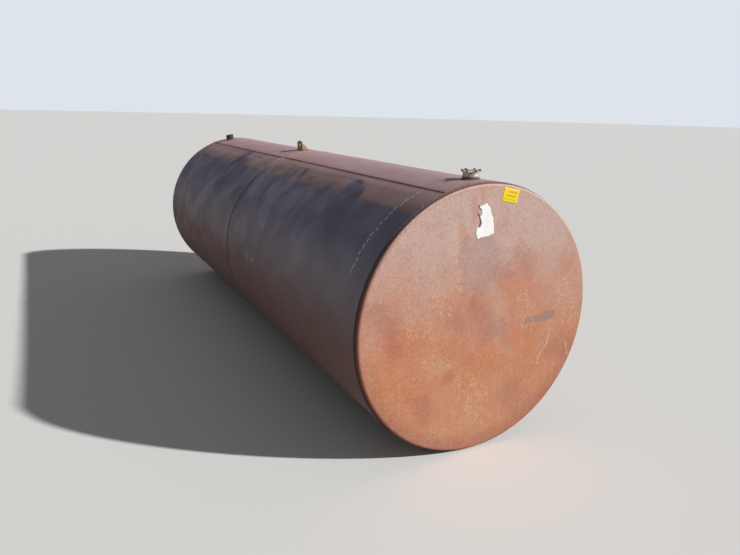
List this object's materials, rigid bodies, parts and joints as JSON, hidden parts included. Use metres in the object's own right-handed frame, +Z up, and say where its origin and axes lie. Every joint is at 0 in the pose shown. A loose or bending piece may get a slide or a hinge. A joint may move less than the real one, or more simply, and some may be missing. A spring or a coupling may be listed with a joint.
{
  "type": "horizontal storage tank",
  "caption": "Long horizontal steel cylinder with flat flanged heads, a lapped girth joint, a capped fill fitting, a lifting lug and a plugged pipe socket.",
  "frame": {"origin": "on the ground under the middle of the tank", "axes": "+X along the tank towards the front head, the one beside the capped fill fitting; +Y to the right when facing that head; +Z up"},
  "size_m": [3.658, 1.2218, 1.2771],
  "materials": {
    "shell_plate": "worn paint and brown rust, matt",
    "head_plate": "orange brown rust with grey remains of paint, matt",
    "weld_metal": "dark rusty weld bead, matt",
    "socket_steel": "dark rusty forged steel, matt",
    "cap_casting": "dull cast metal with grey green bloom",
    "cap_seal": "matt black",
    "lug_steel": "rusty flame-cut plate, matt"
  },
  "bodies": {
    "root": {"front_course": "shell_plate", "rear_course": "shell_plate", "front_head": "head_plate", "rear_head": "head_plate", "front_head_weld": "weld_metal", "rear_head_weld": "weld_metal", "girth_weld": "weld_metal", "front_seam_weld": "weld_metal", "rear_seam_weld": "weld_metal", "fill_socket": "socket_steel", "fill_socket_weld": "weld_metal", "fill_adapter": "cap_casting", "fill_cap": "cap_casting", "fill_cap_gasket": "cap_seal", "lug_plate": "lug_steel", "lug_gusset": "lug_steel", "lug_plate_weld": "weld_metal", "lug_gusset_weld": "weld_metal", "rear_socket": "socket_steel", "rear_socket_weld": "weld_metal", "rear_plug": "socket_steel"}
  },
  "joints": []
}
